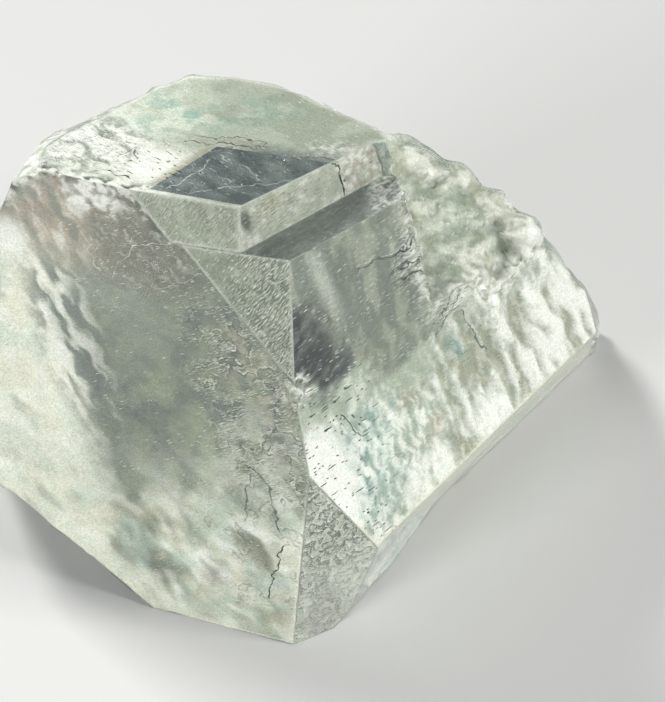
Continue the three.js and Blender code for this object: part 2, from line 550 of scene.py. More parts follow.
class Face:
    """The points of one face with their place on it, and what is painted there."""

    tone, clear, rough, height = MILK, 0.55, 0.25, 0.0
    etch, outline, nick, fine, window = 0.3, 0.0, 0.05, 1.0, 1.0
    grain_turn, grain_scale = 0.0, 1.0

    def __init__(self, name):
        self.ids = points_of(name)
        self.p = points[self.ids]
        self.normal = PLANES[name][0]
        level, up = plane_axes(PLANES[HELD_BY.get(name, name)][0])
        self.u, self.v = self.p @ level, self.p @ up
        self.away = away[self.ids]
        self.brim = from_border[self.ids]
        self.ragged = from_ragged[self.ids]
        self.dark_line, self.light_line = np.ones((2, len(self.ids)))
        self.dark_share, self.light_share = np.zeros((2, len(self.ids)))

    def blend(self, tone, share):
        """Mixes a share of another tone into the face's own."""
        share = np.clip(np.broadcast_to(share, len(self.ids)), 0, 1)[:, None]
        self.tone = np.array(self.tone) * (1 - share) + np.array(tone) * share

    def clouds(self, size, seed, low=0.4, high=0.7, octaves=3):
        """The share of a soft cloud at each point."""
        return ramp(clouds(self.p, size, seed, octaves), low, high)

    def turned(self, turn, centre=(0.0, 0.0)):
        """The place on the face about a centre, along and across a direction turned from the level."""
        c, s = math.cos(math.radians(turn)), math.sin(math.radians(turn))
        x, y = self.u - centre[0], self.v - centre[1]
        return c * x + s * y, c * y - s * x

    def streaks(self, turn, long, wide, seed, bend=0.0, octaves=3):
        """Streaks that run at an angle to the face's level direction, and wander by the bend in mm."""
        along, across = self.turned(turn)
        if bend:
            across = across + bend * (clouds(self.p, 0.6 * long, seed + 60, 2) - 0.5)
        flat = np.stack([along / long, across / wide, np.zeros_like(along)], 1)
        return clouds(flat, 1.0, seed, octaves)

    def blob(self, centre, radii, turn=0.0, soft=0.5):
        """1 inside an ellipse on the face, falling to 0 over the soft share of its radius."""
        along, across = self.turned(turn, centre)
        return ramp(np.hypot(along / radii[0], across / radii[1]), 1 + soft, 1 - soft)

    def draw(self, kind, share, *corners):
        """A fine dark or light line through the corners, for the material to draw."""
        signed, far = line_gap(self.u, self.v, corners)
        wanted = share * ramp(far, 0.45, 0.3)
        line, shares = getattr(self, kind + "_line"), getattr(self, kind + "_share")
        here = wanted > shares
        line[here], shares[here] = signed[here], wanted[here]


def paint_upper_terrace(face):
    """Grey-green, with a painted dark reflection and highlight, mint and white clouds, and a wrinkled,
    chipped left end.
    """
    u, v, p = face.u, face.v, face.p
    face.tone = (0.55, 0.59, 0.5)
    face.blend((0.68, 0.73, 0.63), 0.8 * face.clouds((3.4, 2.6, 2.6), 1, 0.42, 0.66))
    mint = face.blob((-10.2, 3.6), (3.4, 2.6), 10, 0.6) + 0.6 * face.blob((-5.2, 4.6), (2.6, 1.6), 0, 0.7)
    face.blend((0.46, 0.62, 0.54), 0.85 * mint * face.clouds(1.9, 2, 0.3, 0.6))
    face.blend(MILK, 0.7 * mint * face.clouds(1.1, 55, 0.52, 0.7))
    face.blend(MILK, 0.8 * ramp(u, -9.0, -14.0))
    # A painted highlight: the white reflection of a lamp beside the dark window.
    white = face.blob((-9.7, -2.3), (3.3, 2.2), -35, 0.6)
    face.blend(WHITE, white * (0.75 + 0.25 * ramp(face.streaks(-42, 1.8, 0.35, 61, 0.4), 0.4, 0.6)))
    wrinkled = face.blob((-14.2, 0.4), (3.2, 3.0), -30, 0.5)
    wrinkle = face.streaks(-42, 2.6, 0.5, 5, 1.4)
    face.blend(WHITE, 0.9 * wrinkled * ramp(wrinkle, 0.5, 0.62))
    face.blend(DUSK, 0.65 * wrinkled * ramp(wrinkle, 0.47, 0.36))
    chipped = ramp(face.away, 1.1, 0.2) * ramp(u, -9.6, -11.0) * ramp(v, -0.6, -2.2)
    chip = clouds(p, 0.6, 56, 2)
    face.blend(WHITE, 0.9 * chipped * ramp(chip, 0.5, 0.6))
    face.blend(CHARCOAL, 0.8 * chipped * ramp(chip, 0.45, 0.36))
    flakes = face.blob((-0.6, 0.6), (1.5, 0.9), 10, 0.6)
    face.blend(WHITE, 0.9 * flakes * face.clouds(0.4, 4, 0.42, 0.58))
    # Paler along the terrace's edge: a painted rim light.
    face.blend(WHITE, 0.7 * ramp(face.away, 0.5, 0.1) * ramp(v, 0, 3))
    # The dark window is painted: a reflection of the dark surroundings, inside this outline.
    corners = [(-10.45, -4.42), (-7.06, 0.5), (-0.45, -0.8), (-5.15, -5.75)]
    face.window = polygon_gap(u, v, corners)
    # The painted dark reflection turns to a paler slate past its outline towards the right.
    beyond = ramp(face.window, 1.6, 0.0) * ramp(u, -6.6, -4.4) * ramp(v, -1.6, -0.4)
    face.blend(PALE_SLATE, 0.85 * beyond)
    # A painted olive refraction fringe along the dark window's left edge.
    refraction_fringe = ramp(face.window, 0.75, 0.05) * ramp(u, -7.0, -7.8) * ramp(v, -4.6, -3.6)
    face.blend(OLIVE, 0.75 * refraction_fringe)
    face.clear = 0.4 - 0.2 * ramp(u, -6.0, -10.0)
    face.rough = 0.33
    face.etch = 0.12 + 0.5 * wrinkled + 0.5 * flakes
    face.nick = 0.05 + 0.8 * white
    face.outline = 0.3 * wrinkled + 0.1 * ramp(face.window, 0.1, -0.1)
    face.height = 0.2 * (wrinkle - 0.5) * wrinkled + 0.015 * (clouds(p, 1.1, 6) - 0.5)
    face.height += 0.35 * np.minimum(chip - 0.5, 0) * chipped
    face.draw("dark", 0.9, (-8.6, 0.9), (-7.3, 0.72), (-6.2, 0.95), (-5.2, 0.5))
    face.draw("dark", 0.7, (-8.0, 1.6), (-7.0, 1.4), (-6.0, 1.7), (-4.6, 1.1))
    face.draw("dark", 0.6, (-6.9, 0.2), (-5.6, 0.9), (-4.4, 0.7))
    face.draw("light", 0.7, (-9.3, -4.0), (-8.2, -2.9), (-7.4, -1.3))
    face.draw("light", 0.6, (-7.9, -4.6), (-5.4, -3.6), (-3.4, -3.3), (-2.2, -2.6))
    face.draw("light", 0.5, (-6.6, -0.7), (-4.9, -2.0), (-4.4, -3.0))
    face.draw("light", 0.5, (-8.6, -1.5), (-7.0, -2.2), (-6.2, -3.2))
    face.draw("dark", 0.7, (-12.2, -0.6), (-11.7, -0.2), (-11.4, -0.9))
    face.draw("dark", 0.8, (-13.4, -2.6), (-12.8, -2.4), (-12.5, -3.0), (-11.9, -3.2))
    face.draw("dark", 0.6, (-1.9, -0.3), (-0.9, -0.2), (0.4, -0.8))
    face.grain_turn = -42


def paint_lower_terrace(face):
    # The dark slate is a painted reflection of dark surroundings; paler streaks run along it, and its right
    # end is rough and white.
    face.tone = (0.33, 0.37, 0.36)
    face.blend((0.48, 0.53, 0.51), 0.9 * ramp(face.streaks(45, 1.8, 0.4, 7), 0.4, 0.66))
    rough_end = ramp(face.u, 2.2, 3.2)
    face.blend(WHITE, rough_end * face.clouds(0.35, 8, 0.42, 0.58))
    face.clear = 0.6 - 0.2 * rough_end
    face.rough = 0.16 + 0.2 * rough_end
    face.etch = 0.35 + 0.65 * rough_end
    face.outline = 0.1
    face.height = 0.08 * rough_end * (clouds(face.p, 0.35, 9) - 0.5)
    face.grain_turn = 45


def paint_upper_left_wall(face):
    face.tone = (0.48, 0.52, 0.43)
    face.blend(MILK, 0.3 * face.clouds(1.2, 10, 0.45, 0.75))
    face.blend(SAGE, 0.35 * face.clouds(0.9, 43, 0.5, 0.75))
    # Paler along the edges: a painted edge highlight.
    face.blend(WHITE, 0.6 * ramp(face.away, 0.25, 0.05))
    face.clear = 0.42
    face.grain_turn = 62
    face.etch = 0.5


def paint_upper_right_wall(face):
    face.tone = (0.6, 0.63, 0.55)
    face.blend(WHITE, 0.6 * face.clouds(0.9, 11, 0.45, 0.7))
    face.blend(SAGE, 0.5 * face.clouds((0.7, 0.7, 1.4), 44, 0.5, 0.7))
    face.blend(CHARCOAL, 0.8 * face.blob((-0.7, 31.8), (0.35, 0.75), 15, 0.7))
    face.blend(OLIVE, 0.8 * face.blob((1.2, 31.9), (0.55, 0.7), 30, 0.8))
    face.blend(OLIVE, 0.5 * face.blob((2.3, 31.5), (0.35, 0.6), 30, 0.8))
    beyond = ramp(face.u, 6.2, 6.7)
    face.blend(WHITE, 0.7 * beyond * face.clouds(0.55, 12, 0.42, 0.6))
    face.blend(BROWN, 0.6 * beyond * face.clouds(0.5, 13, 0.5, 0.65))
    face.draw("dark", 1.0, (5.9, 31.8), (6.25, 31.1), (6.5, 30.2), (6.62, 28.6))
    face.draw("dark", 0.8, (9.3, 30.4), (9.6, 29.2), (9.9, 28.2))
    face.draw("light", 0.7, (6.1, 31.8), (6.45, 31.1), (6.7, 30.2), (6.85, 28.8))
    face.clear = 0.4
    face.etch = 0.25 + 0.4 * face.blob((1.0, 31.0), (2.5, 1.2), 0, 0.6)


def paint_lower_left_wall(face):
    face.tone = (0.34, 0.38, 0.31)
    face.blend((0.46, 0.5, 0.41), 0.7 * face.clouds(1.4, 14, 0.4, 0.75))
    # Paler along the edges: a painted edge highlight.
    face.blend(WHITE, 0.4 * ramp(face.away, 0.2, 0.05))
    face.clear = 0.36
    rows = ramp(face.u, -7.0, -4.0)
    face.etch = 0.35 + 0.85 * rows
    face.height = 0.04 * (face.streaks(58, 0.8, 0.34, 15, 0.4, 2) - 0.5) * ramp(face.away, 0.05, 0.3) * rows
    face.grain_turn = 58


def paint_broad_wall(face):
    u, v, p = face.u, face.v, face.p
    fold = face.streaks(-74, 5.5, 0.85, 16, 0.7)
    fibre = face.streaks(-80, 2.4, 0.5, 17, 0.9, 2)
    cloud = face.streaks(-78, 2.4, 1.3, 62, 1.2)
    border = np.interp(u, [-2, 2, 4.7, 8, 9.7, 12.3, 14], [19.9, 18.9, 18.0, 17.2, 16.9, 18.4, 20.5])
    border = border + 2.0 * (clouds(p, 1.6, 18) - 0.5)
    low = ramp(v, border + 1.2, border - 0.9)
    right = ramp(u, 6.5, 11)

    # Above: clear and grey-green, with upright clouds and a dark patch by the prism's edge.
    face.tone = (0.28, 0.315, 0.26)
    upright = face.streaks(-86, 3.2, 0.8, 45, 0.6)
    face.blend((0.5, 0.54, 0.45), 0.8 * ramp(upright, 0.44, 0.7))
    face.blend(DUSK, 0.75 * ramp(upright, 0.48, 0.34))
    face.blend(MILK, 0.7 * face.blob((1.9, 26.6), (0.5, 2.8), 12, 0.8))
    face.blend((0.56, 0.61, 0.51), 0.8 * face.blob((12.5, 20.4), (2.6, 3.2), -45, 0.6))
    patch = [(-3, 27.6), (0.6, 26.4), (3.0, 23.6), (3.6, 20.6), (2.3, 18.6), (-0.6, 19.4), (-3, 20.0)]
    wavy = [place + 0.8 * (clouds(p, 0.9, seed) - 0.5) for place, seed in ((u, 46), (v, 75))]
    dark = ramp(polygon_gap(*wavy, patch), 0.5, -0.7)
    dark = dark * (0.8 + 0.2 * face.clouds(0.9, 46, 0.3, 0.5)) * ramp(u + 0.4 * (v - 22), 4.2, 0.8)
    dark = dark * (1 - 0.3 * ramp(face.streaks(40, 1.6, 0.5, 76, 0.5, 2), 0.54, 0.74))
    face.blend((0.022, 0.036, 0.04), dark)
    ribbed = face.blob((12.0, 19.6), (2.6, 3.6), -50, 0.5)
    grooved = np.clip(face.blob((9.0, 24.2), (1.9, 2.6), -12, 0.5) + ribbed, 0, 1) * (1 - low)
    groove = face.streaks(14, 1.6, 0.24, 21, 0.5)
    face.blend((0.56, 0.61, 0.5), 0.9 * ribbed)
    face.blend(WHITE, 0.45 * grooved * ramp(groove, 0.54, 0.64))
    face.blend(DUSK, 0.8 * grooved * ramp(groove, 0.5, 0.38))
    face.blend(CHARCOAL, 0.9 * grooved * ramp(groove, 0.42, 0.32) * (1 - ribbed))

    # Below: bright, with clouds of white, mint and blue-green, and to the right folds of white and olive.
    bright = Face("broad_wall")
    bright.tone = (0.44, 0.5, 0.42)
    mixed = (0.25 + 0.55 * right) * fold + (0.6 - 0.5 * right) * cloud + (0.15 - 0.05 * right) * fibre
    teal_patch = face.blob((3.4, 12.2), (3.6, 5.0), -20, 0.5)
    bright.blend((0.58, 0.7, 0.65), 0.9 * teal_patch)
    bright.blend(MINT, 0.5 * face.clouds(1.5, 63, 0.4, 0.6) * (1 - right))
    bright.blend(OLIVE, 0.7 * ramp(mixed, 0.5, 0.36) * ramp(u, 4, 7))
    bright.blend(WHITE, 0.9 * ramp(mixed, 0.45, 0.72))
    bright.blend(WHITE, 0.35 * ramp(fibre, 0.56, 0.7))
    speck = face.streaks(-72, 1.3, 0.55, 77, 0.6, 2)
    bright.blend((0.24, 0.38, 0.36), 0.85 * ramp(speck, 0.42, 0.3) * teal_patch)
    bright.blend(SAGE, 0.7 * ramp(speck, 0.42, 0.3) * ramp(u, 3.5, 6))
    valley = ramp(np.abs(fold - 0.43), 0.05, 0.0) * right
    bright.blend(DUSK, 0.8 * valley * face.clouds(1.4, 57, 0.34, 0.56))
    bright.blend((0.27, 0.42, 0.38), 0.8 * face.blob((10.6, 15.4), (0.6, 1.3), 12, 0.8))
    bright.blend((0.46, 0.4, 0.28), 0.7 * face.blob((8.2, 10.9), (0.6, 1.1), -10, 0.8))
    bright.blend((0.4, 0.38, 0.28), 0.6 * face.blob((6.6, 14.2), (0.9, 0.9), 0, 0.8))
    bright.blend(SAGE, 0.55 * ramp(fibre, 0.44, 0.3) * ramp(u, 2, 5))
    bright.blend((0.42, 0.44, 0.34), 0.65 * right * ramp(fold, 0.5, 0.3))
    flick = face.streaks(-76, 1.5, 0.34, 78, 0.5, 2)
    flicker = 1 - 0.55 * right
    bright.blend(WHITE, 0.6 * flicker * ramp(flick, 0.48, 0.7))
    bright.blend((0.3, 0.38, 0.33), 0.55 * flicker * ramp(flick, 0.5, 0.26) * ramp(u, 0.5, 2.5))
    glare = face.blob((-0.5, 12.6), (1.9, 5.6), 8, 0.4)
    bright.blend(WHITE, 0.98 * glare)
    band = ramp(v, border - 3.4, border - 0.8) * (1 - right)
    bright.blend((0.48, 0.54, 0.44), 0.85 * band * (0.6 + 0.4 * ramp(cloud, 0.62, 0.45)))
    bright.blend(WHITE, 0.8 * ramp(v - 0.15 * u, 10.0, 6.5) * ramp(mixed, 0.3, 0.55) * ramp(u, 3, 6))
    bright.blend(WHITE, 0.9 * face.blob((19.2, 11.4), (3.6, 5.0), -40, 0.5) * ramp(fold, 0.28, 0.52))
    # Cream along the lower edge: a painted edge highlight.
    bright.blend(CREAM, 0.8 * ramp(face.away, 0.4, 0.1) * ramp(v, 9.0, 7.5))
    face.tone = face.tone * (1 - low[:, None]) + bright.tone * low[:, None]
    crumble = ramp(face.ragged, 1.4, 0.3)
    face.blend(WHITE, 0.8 * crumble * face.clouds(0.5, 64, 0.46, 0.6))
    face.blend(SAGE, 0.6 * crumble * face.clouds(0.5, 65, 0.5, 0.66))

    face.clear = 0.46 - 0.16 * low - 0.46 * dark - 0.12 * grooved
    face.rough = 0.2 + 0.06 * low
    face.etch = 0.3 * (1 - low) * (1 - dark) + 0.16 * dark + 0.45 * grooved + 0.05 * low
    face.outline = 0.25 * grooved
    face.nick = 0.12 + 0.88 * low * ramp(u, 6, 2)
    face.height = (0.06 + 0.36 * right) * (fold - 0.5) * low + 0.02 * (fibre - 0.5) * low
    face.height -= 0.05 * valley * low
    face.height += 0.12 * (groove - 0.5) * grooved + 0.2 * (clouds(p, 0.6, 66, 2) - 0.5) * crumble
    face.height *= ramp(face.away, 0.05, 0.5)
    face.draw("dark", 0.9, (4.8, 25.9), (7.9, 24.8), (8.7, 24.9))
    face.draw("dark", 0.8, (7.2, 23.9), (9.6, 23.4))
    face.draw("dark", 0.8, (7.8, 22.9), (9.9, 22.3))
    face.draw("light", 0.8, (4.9, 26.1), (8.0, 25.0), (8.9, 25.1))
    face.draw("dark", 0.9, (1.6, 16.6), (2.4, 14.6))
    face.draw("dark", 0.7, (1.9, 16.6), (2.7, 14.8))
    face.draw("dark", 0.8, (10.3, 18.6), (12.8, 20.6), (14.6, 22.6))
    face.draw("dark", 0.6, (9.6, 17.4), (11.4, 18.6))
    face.draw("dark", 0.7, (11.6, 17.4), (12.1, 15.4), (12.9, 13.6))
    face.grain_turn = -4


def paint_left_face(face):
    """Smoky above and milky below and to the left, with a warm patch and an etched, terraced strip."""
    u, v, p = face.u, face.v, face.p
    smoke = face.streaks(-50, 4.2, 1.9, 22, 0.9)
    wisp = face.streaks(-56, 2.6, 0.7, 49, 1.0)
    face.tone = (0.34, 0.375, 0.315)
    face.blend((0.38, 0.42, 0.32), 0.85 * ramp(face.streaks(80, 4.4, 1.1, 23, 1.4), 0.45, 0.62))
    face.blend((0.23, 0.26, 0.25), 0.7 * face.clouds(1.6, 24, 0.5, 0.68) * ramp(v, 10, 13))
    face.blend(DUSK, 0.6 * ramp(v, 23, 27) * ramp(u, -9, -6))
    face.blend((0.48, 0.52, 0.45), 0.6 * face.blob((-12.6, 23.0), (2.8, 3.0), 0, 0.7))
    bottom = ramp(v - 0.35 * u, 18.0, 8.0)
    left = ramp(u + 0.15 * (v - 20), -14.0, -17.5) * ramp(v, 28, 24)
    milky = np.clip(bottom * ramp(smoke, 0.2, 0.6) + left * ramp(smoke, 0.05, 0.45), 0, 1)
    face.blend((0.76, 0.81, 0.69), 0.95 * milky)
    face.blend(WHITE, 0.8 * milky * face.clouds(1.5, 25, 0.36, 0.68, 2))
    face.blend((0.88, 0.91, 0.82), 0.7 * left)
    face.blend(CREAM, 0.6 * left * face.clouds(2.8, 47, 0.38, 0.62))
    face.blend(MINT, 0.35 * left * face.clouds(2.2, 67, 0.5, 0.7))
    face.blend(MINT, 0.7 * bottom * face.clouds(2.4, 42, 0.36, 0.68, 2))
    face.blend(CREAM, 0.5 * bottom * face.clouds(1.8, 68, 0.46, 0.72, 2))
    face.blend(OLIVE, 0.35 * bottom * face.clouds(1.6, 69, 0.52, 0.78, 2))
    face.blend(MILK, 0.6 * face.blob((-3.6, 13.5), (3.0, 5.0), 10, 0.6) * face.clouds(1.4, 48, 0.3, 0.7))
    smoky = face.blob((-16.0, 20.0), (1.9, 7.0), 18, 0.5)
    face.blend((0.24, 0.28, 0.26), 0.85 * smoky * ramp(wisp, 0.6, 0.36))
    face.blend(WHITE, 0.7 * smoky * ramp(wisp, 0.5, 0.78))
    warm = face.blob((-16.2, 28.4), (4.2, 3.1), 10, 0.5)
    face.blend((0.68, 0.63, 0.54), 0.9 * warm)
    face.blend((0.46, 0.41, 0.34), 0.8 * warm * face.clouds(1.8, 50, 0.38, 0.66, 2))
    face.blend(WHITE, 0.6 * warm * ramp(wisp, 0.52, 0.8))
    face.blend(DUSK, 0.6 * warm * ramp(wisp, 0.46, 0.24))
    # A painted highlight on the chipped spot at the upper left.
    face.blend(WHITE, face.blob((-14.9, 31.0), (1.3, 0.9), 0, 0.4))
    face.blend(WHITE, 0.95 * face.blob((-19.8, 25.6), (1.0, 1.3), 0, 0.6))
    brown = face.blob((-11.6, 27.6), (3.2, 2.8), 0, 0.5)
    face.blend((0.285, 0.275, 0.24), 0.85 * brown)
    face.blend(MILK, 0.4 * brown * ramp(face.streaks(-30, 1.6, 0.28, 70, 0.5), 0.6, 0.72))
    face.blend(BEIGE, 0.5 * face.blob((-4.2, 20.5), (1.5, 5.0), 24, 0.6) * face.clouds(0.8, 71, 0.45, 0.6))
    face.blend((0.84, 0.87, 0.76), 0.75 * ramp(face.away, 2.4, 0.4) * ramp(v, 9, 4) * ramp(u, -2, -4))
    # Paler along the lower and right edges: a painted edge highlight.
    face.blend(CREAM, 0.8 * ramp(face.away, 0.28, 0.08) * ramp(v, 12, 5))
    face.blend(WHITE, 0.6 * ramp(face.away, 0.25, 0.05) * ramp(v, 20, 10) * ramp(u, -8, -6))
    crumble = ramp(face.brim, 0.7, 0.1)
    face.blend(WHITE, 0.6 * crumble * face.clouds(0.5, 64, 0.42, 0.62))
    chipped = ramp(face.away, 0.8, 0.1) * ramp(v, 27.5, 29.5) * ramp(u, -9.5, -11.0)
    chip = clouds(p, 0.5, 56, 2)
    face.blend(WHITE, 0.9 * chipped * ramp(chip, 0.52, 0.62))
    face.blend(CHARCOAL, 0.7 * chipped * ramp(chip, 0.46, 0.36))
    # The chipped spot carries a painted highlight, with darker chips beside it.
    spot = face.blob((-14.6, 30.4), (2.0, 1.1), 15, 0.5)
    face.blend(WHITE, spot * ramp(chip, 0.46, 0.64))
    face.blend((0.16, 0.15, 0.13), 0.5 * spot * ramp(chip, 0.46, 0.32))
    milky = np.clip(milky + 0.6 * warm, 0, 1)
    face.clear = 0.42 - 0.18 * milky
    face.rough = 0.24
    etched = face.blob((-4.2, 18.5), (3.4, 8.5), 20, 0.4) + face.blob((-3.6, 7.0), (4.0, 5.5), 0, 0.5)
    etched = np.clip(etched, 0, 1)
    steps = clouds(p, 0.9, 26) * 5
    plateau = np.floor(steps) + ramp(steps - np.floor(steps), 0.35, 0.65)
    face.height = 0.03 * (plateau - 2.5) * etched + 0.05 * (clouds(p, 1.7, 27) - 0.5)
    face.height += 0.06 * (wisp - 0.5) * np.clip(smoky + warm, 0, 1)
    face.height *= ramp(face.away, 0.1, 0.6)
    swirled = etched * ramp(v, 27, 24) * face.clouds(1.8, 105, 0.4, 0.62, 2)
    face.outline = (0.75 - 0.3 * ramp(v, 14, 8)) * swirled + 0.05 * brown
    face.etch = 0.1 - 0.08 * milky + 0.1 * brown
    face.etch += 0.85 * etched * face.clouds(1.5, 52, 0.36, 0.58) * ramp(v, 8, 14)
    face.nick = 0.0
    face.draw("light", 1.0, (-9.7, 28.9), (-12.3, 27.54), (-13.3, 25.32))
    face.draw("light", 0.8, (-12.5, 27.5), (-12.4, 28.1))
    face.draw("light", 0.7, (-15.2, 27.4), (-14.8, 26.4), (-14.2, 25.2))
    face.draw("light", 0.6, (-14.9, 27.6), (-14.3, 26.5), (-13.8, 25.4))
    face.draw("light", 0.8, (-15.2, 29.6), (-14.2, 29.7), (-13.4, 30.2))
    face.draw("light", 0.6, (-14.6, 29.2), (-13.6, 29.3))
    face.draw("light", 0.5, (-10.6, 25.2), (-9.2, 26.0), (-8.2, 27.0))
    face.draw("dark", 0.9, (-2.9, 3.4), (-2.6, 5.6), (-2.3, 7.6))
    face.draw("dark", 0.7, (-4.4, 13.6), (-3.2, 12.4), (-2.6, 9.9), (-2.4, 9.0))
    face.draw("dark", 0.6, (-4.6, 9.4), (-4.5, 12.6), (-4.1, 13.4))
    face.draw("light", 0.6, (-4.75, 9.6), (-4.65, 12.6), (-4.2, 13.6), (-3.4, 12.9))
    face.draw("dark", 0.7, (-10.9, 26.9), (-10.6, 26.7))
    face.grain_turn = 35


def paint_pitted_facet(face):
    """Milky, with small etch pits drawn by wide outlines."""
    face.tone = (0.68, 0.73, 0.62)
    face.blend((0.8, 0.85, 0.76), 0.9 * ramp(face.v, 9, 3))
    face.blend(DUSK, 0.45 * face.clouds(0.5, 72, 0.48, 0.66) * ramp(face.v, 2, 6))
    face.blend(WHITE, 0.5 * face.clouds(0.6, 106, 0.52, 0.7))
    face.height = 0.03 * (clouds(face.p, 0.42, 28, 2) - 0.5) * ramp(face.away, 0.05, 0.4)
    face.clear = 0.45
    face.etch = 0.55
    face.outline = 0.4 + 0.55 * ramp(face.v, 4, 8)
    face.fine = 2.4
    face.grain_scale = 2.4
    face.rough = 0.22


def paint_foot(face):
    """The bright foot facets, with slanting streaks."""
    face.tone = (0.95, 0.99, 0.94)
    streak = face.streaks(-60, 3.0, 0.4, 30, 0.5)
    face.blend(WHITE, 0.8 * ramp(streak, 0.5, 0.66))
    face.blend(TEAL, 0.6 * ramp(streak, 0.46, 0.32))
    face.clear = 0.5
    face.rough = 0.12
    face.etch = 0.2
    face.height = 0.02 * (streak - 0.5)


def paint_right_undercut(face):
    """Nearly white, with faint level layers."""
    face.tone = (0.95, 0.97, 0.89)
    streak = face.streaks(0, 5.0, 0.35, 31)
    face.blend(CREAM, 0.5 * ramp(streak, 0.45, 0.65))
    layered = ramp(face.away, 1.6, 0.6) * ramp(face.v, 4, 7)
    face.blend((0.62, 0.63, 0.5), (0.1 + 0.35 * layered) * ramp(streak, 0.48, 0.34))
    face.blend(MINT, 0.6 * face.clouds(2.6, 104, 0.5, 0.7) * ramp(face.away, 0.6, 2.0))
    face.clear = 0.38
    face.height = 0.02 * (streak - 0.5)


def ribs(p, long, wide, deep, seed):
    """Soft ribs that run down the broken shoulder."""
    slant = np.stack([p @ direction(20, -35) / long, p @ direction(300, -40) / wide, p[:, 2] / deep], 1)
    return clouds(slant, 1, seed, 2)


def paint_frosted(face):
    """The broken shoulder beside the prism: frosted, with a white crumbling border."""
    p = face.p
    face.tone = (0.43, 0.46, 0.35)
    face.blend((0.58, 0.62, 0.52), 0.6 * face.clouds(3.0, 32, 0.38, 0.7, 2))
    face.blend((0.4, 0.47, 0.39), 0.6 * face.clouds(2.4, 34, 0.45, 0.75, 2))
    face.blend((0.8, 0.82, 0.73), 0.6 * face.clouds(1.5, 33, 0.56, 0.78))
    face.blend((0.74, 0.76, 0.66), 0.8 * ramp(p[:, 0], 8.0, 12.0))
    crumble = ramp(face.ragged, 1.8, 0.3)
    face.blend(WHITE, 0.9 * crumble * face.clouds(0.6, 64, 0.4, 0.54))
    face.blend((0.29, 0.33, 0.25), 0.7 * crumble * face.clouds(0.5, 65, 0.52, 0.66))
    face.clear = 0.3
    face.rough = 0.75
    face.etch = 0.12
    lumps = np.abs(clouds(p, (1.8, 1.8, 1.1), 73, 2) - 0.5)
    shaded_seam = ramp(lumps, 0.04, 0.0)
    rib = ribs(p, 2.4, 0.45, 2.4, 106)
    ribbed = face.clouds(3.2, 107, 0.46, 0.6, 2)
    # Painted shade darkens the seams between the lumps.
    face.blend((0.38, 0.43, 0.35), 0.45 * shaded_seam)
    # A painted rim light whitens the lips of the lumps.
    lump_rim_light = ramp(lumps, 0.03, 0.09) * ramp(lumps, 0.2, 0.1)
    face.blend(WHITE, 0.5 * lump_rim_light * face.clouds(1.8, 108, 0.45, 0.65, 2))
    face.blend(DUSK, 0.3 * ribbed * ramp(rib, 0.44, 0.3))
    face.blend(WHITE, 0.4 * ribbed * ramp(rib, 0.56, 0.72))
    face.height = 0.24 * (clouds(p, (1.5, 1.5, 0.7), 35) - 0.5) - 0.16 * shaded_seam
    face.height += 0.1 * (rib - 0.5) * ribbed
    face.height += 0.24 * (clouds(p, 0.6, 66, 2) - 0.5) * crumble


def paint_fracture(face):
    """The back and the ends: glassy fractures, stepped and rippled from where the stone broke."""
    p = face.p
    ripple = np.zeros(len(p))
    for k, start in enumerate([(-22, 16, 24), (24, 20, 4), (-2, 30, 36)]):
        far = np.linalg.norm(p - np.array(start), axis=1) + 2.2 * (clouds(p, 4.0, 90 + k, 2) - 0.5)
        ripple += np.sin(far * math.tau / (2.6 + 0.7 * k)) * face.clouds(6.0, 94 + k, 0.42, 0.62, 2)
    steps = p @ direction(200, 30) / 7.0 + 2.0 * clouds(p, (9.0, 9.0, 11.0), 97, 2)
    steps += 0.3 * clouds(p, 1.8, 105, 2)
    rise = ramp(steps - np.floor(steps), 0.76, 0.96)
    scarp = 4 * rise * (1 - rise)
    face.tone = (0.56, 0.65, 0.58)
    face.blend((0.36, 0.47, 0.42), 0.8 * face.clouds(9.0, 98, 0.32, 0.66, 2))
    face.blend((0.74, 0.79, 0.7), 0.8 * face.clouds(6.0, 99, 0.42, 0.76, 2))
    face.blend((0.56, 0.52, 0.42), 0.3 * face.clouds(6.0, 100, 0.5, 0.8, 2))
    face.blend(WHITE, 0.35 * ramp(ripple, 0.35, 1.0))
    face.blend(WHITE, 0.6 * scarp * face.clouds(1.6, 102, 0.35, 0.6))
    brim = ramp(face.brim, 0.9, 0.1)
    face.blend(WHITE, 0.6 * brim * face.clouds(0.9, 64, 0.35, 0.65))
    face.clear = 0.55 - 0.25 * scarp
    face.rough = 0.24 + 0.3 * scarp
    face.etch = 0.05 + 0.25 * scarp
    face.height = 0.09 * ripple + 0.6 * (np.floor(steps) + rise - steps + 0.35)


def paint_rim(face):
    """The worn brim of the upper terrace."""
    paint_frosted(face)
    face.tone = (0.6, 0.64, 0.55)
    wrinkle = clouds(face.p, (1.4, 0.5, 0.5), 74, 2)
    face.blend(WHITE, 0.8 * ramp(wrinkle, 0.5, 0.62))
    face.blend(DUSK, 0.4 * ramp(wrinkle, 0.46, 0.34))
    face.clear = 0.15
    face.height = 0.1 * (wrinkle - 0.5)


def paint_notch(face):
    """The frosted hollow beside the prism, faintly ribbed towards its floor."""
    paint_frosted(face)
    rib = ribs(face.p, 3.4, 0.8, 3, 54)
    face.blend(DUSK, 0.22 * ramp(rib, 0.46, 0.28))
    face.blend(WHITE, 0.25 * ramp(rib, 0.54, 0.75))
    face.height = face.height * 0.7 + 0.14 * (rib - 0.5)


